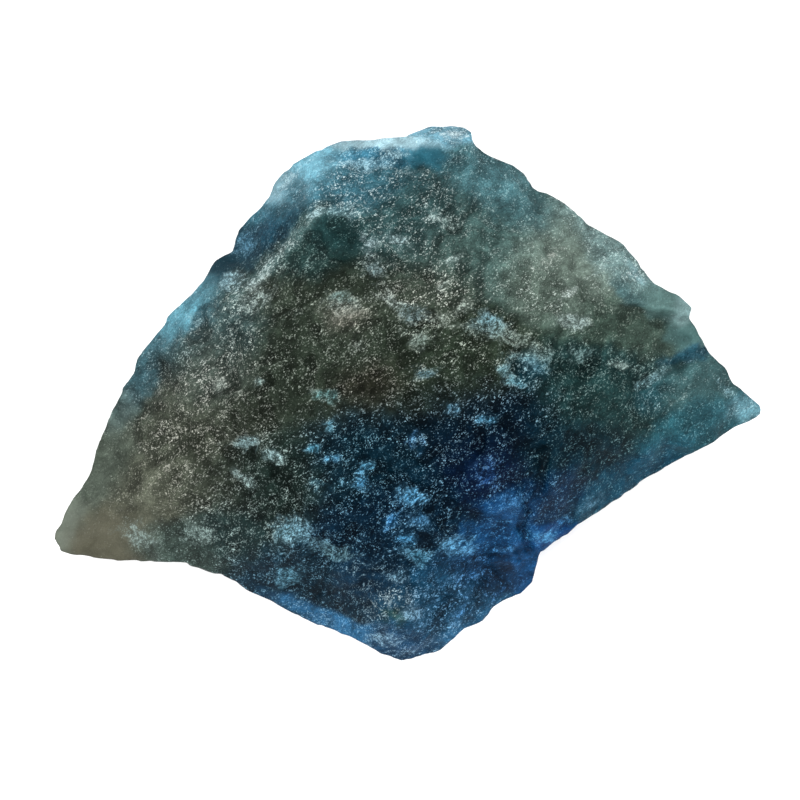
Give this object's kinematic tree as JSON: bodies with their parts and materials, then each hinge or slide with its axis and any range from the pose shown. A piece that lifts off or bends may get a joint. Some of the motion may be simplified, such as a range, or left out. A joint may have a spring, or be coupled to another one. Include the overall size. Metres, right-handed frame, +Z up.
{
  "type": "rock salt crystal",
  "caption": "Broken lump of massive rock salt, a flat kite-shaped slab with bevelled, chipped edges and a sugary blue-grey surface.",
  "frame": {"origin": "under the middle of the lump's bounding box, on the face that it lies on", "axes": "+X from the left tip to the right tip, +Y towards the cap at the top rim, +Z up through the thickness, from the flat back to the worn upper face"},
  "size_m": [0.1, 0.0752, 0.028],
  "materials": {
    "rock_salt": "satin"
  },
  "bodies": {
    "root": {"rock_salt_crystal": "rock_salt"}
  },
  "joints": []
}
